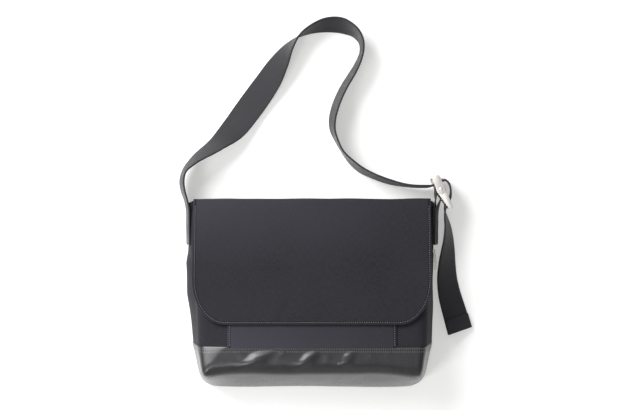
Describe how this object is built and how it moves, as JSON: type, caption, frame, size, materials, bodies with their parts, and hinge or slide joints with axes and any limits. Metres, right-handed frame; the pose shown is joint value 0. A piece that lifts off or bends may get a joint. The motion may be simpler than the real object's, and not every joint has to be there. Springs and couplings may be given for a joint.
{
  "type": "messenger bag",
  "caption": "Canvas messenger bag lying on its back, with a wide round-cornered flap, a glossy coated base and a long shoulder strap through a metal lever buckle.",
  "frame": {"origin": "middle of the back panel's outer face, which lies on the ground", "axes": "+X to the right seen from the front, +Y from the base towards the mouth, +Z out of the front, up as the bag lies"},
  "size_m": [0.4201, 0.5301, 0.0884],
  "materials": {
    "canvas": "matt black cotton canvas with a fine plain weave",
    "coated_cloth": "glossy black coated cloth with a fine diagonal weave",
    "webbing": "black twill webbing",
    "lining_cloth": "thin black woven lining",
    "thread": "black polyester sewing thread",
    "stiffener": "grey board",
    "nickel": "satin nickel plate",
    "label_cloth": "blank woven cotton tape"
  },
  "bodies": {
    "bag": {"back_panel": "canvas", "front_panel": "canvas", "left_gusset": "canvas", "right_gusset": "canvas", "base_cover": "coated_cloth", "base_board": "stiffener", "lining": "lining_cloth", "mouth_binding": "webbing", "front_pocket": "canvas", "pocket_thread": "thread", "base_thread": "thread", "shoulder_strap": "webbing", "anchor_loop": "webbing", "anchor_sleeve": "nickel", "buckle_frame": "nickel", "buckle_pivot_pin": "nickel", "side_label": "label_cloth"},
    "flap_back": {"flap_spine": "canvas"},
    "flap_leaf": {"flap_outer": "canvas", "flap_lining": "lining_cloth", "flap_thread": "thread"},
    "lever": {"buckle_lever": "nickel"}
  },
  "joints": [
    {"name": "flap_fold", "type": "hinge", "parent": "flap_back", "child": "flap_leaf", "pos_m": [0, 0.1343, 0.0455], "axis": [1, 0, 0], "range_deg": [-142, 0]},
    {"name": "flap_root", "type": "hinge", "parent": "bag", "child": "flap_back", "pos_m": [0, 0.1337, 0.0016], "axis": [1, 0, 0], "range_deg": [-6, 0]},
    {"name": "lever_turn", "type": "hinge", "parent": "bag", "child": "lever", "pos_m": [0.1818, 0.1488, 0], "axis": [0, 0, 1], "range_deg": [-100, 0]}
  ],
  "couplings": [
    {"joint": "flap_root", "follows": "flap_fold", "ratio": 0.0422}
  ]
}
